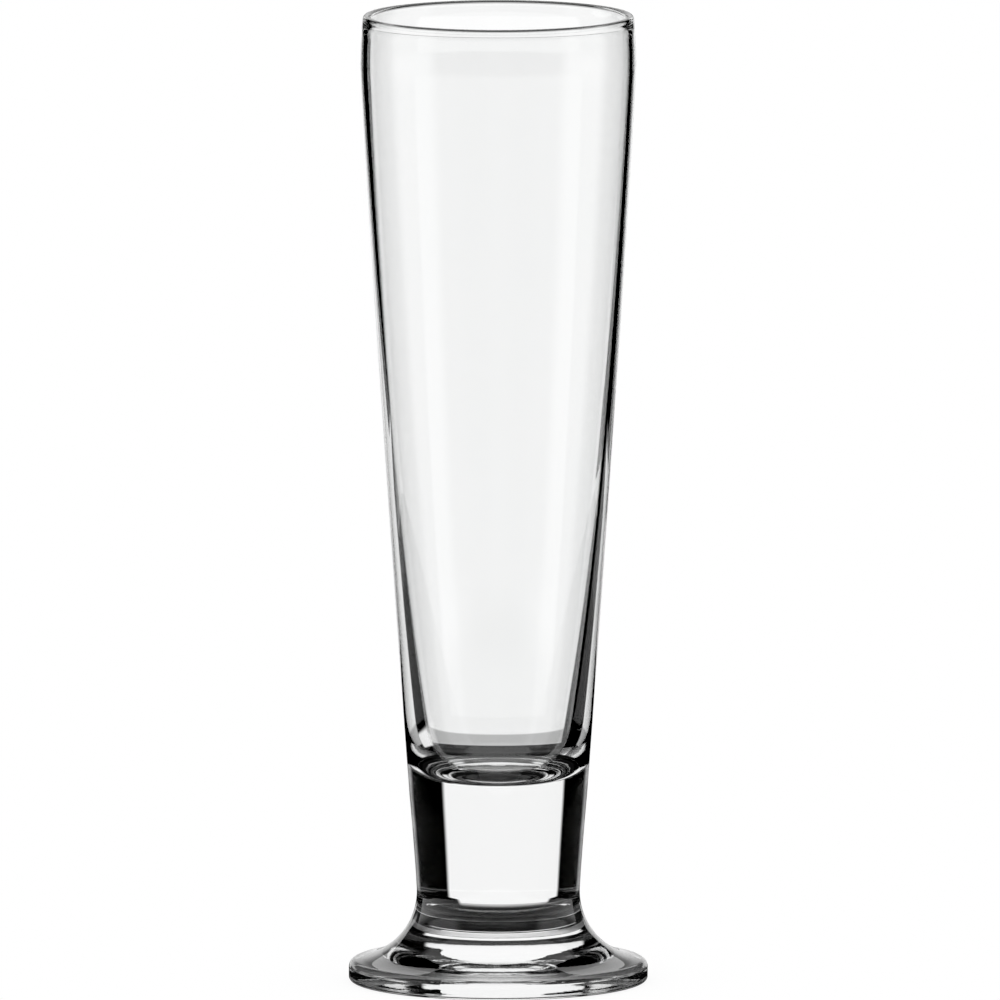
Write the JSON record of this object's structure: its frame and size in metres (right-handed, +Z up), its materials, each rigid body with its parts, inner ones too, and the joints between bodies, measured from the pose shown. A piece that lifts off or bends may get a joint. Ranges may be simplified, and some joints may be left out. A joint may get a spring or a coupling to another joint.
{
  "type": "footed pilsner glass",
  "caption": "Tall tapered beer glass of clear glass, with a rounded rim, a thick-walled bowl, a short solid stem and a round foot that rests flat.",
  "frame": {"origin": "centre of the plane that the foot rests on", "axes": "+Z up along the glass's axis, from the foot to the rim; the glass is round, so X and Y are any two directions square to it"},
  "size_m": [0.0723, 0.0722, 0.235],
  "materials": {
    "glass": "clear, fire-polished soda-lime glass"
  },
  "bodies": {
    "root": {"bowl": "glass", "stem": "glass", "foot": "glass"}
  },
  "joints": []
}
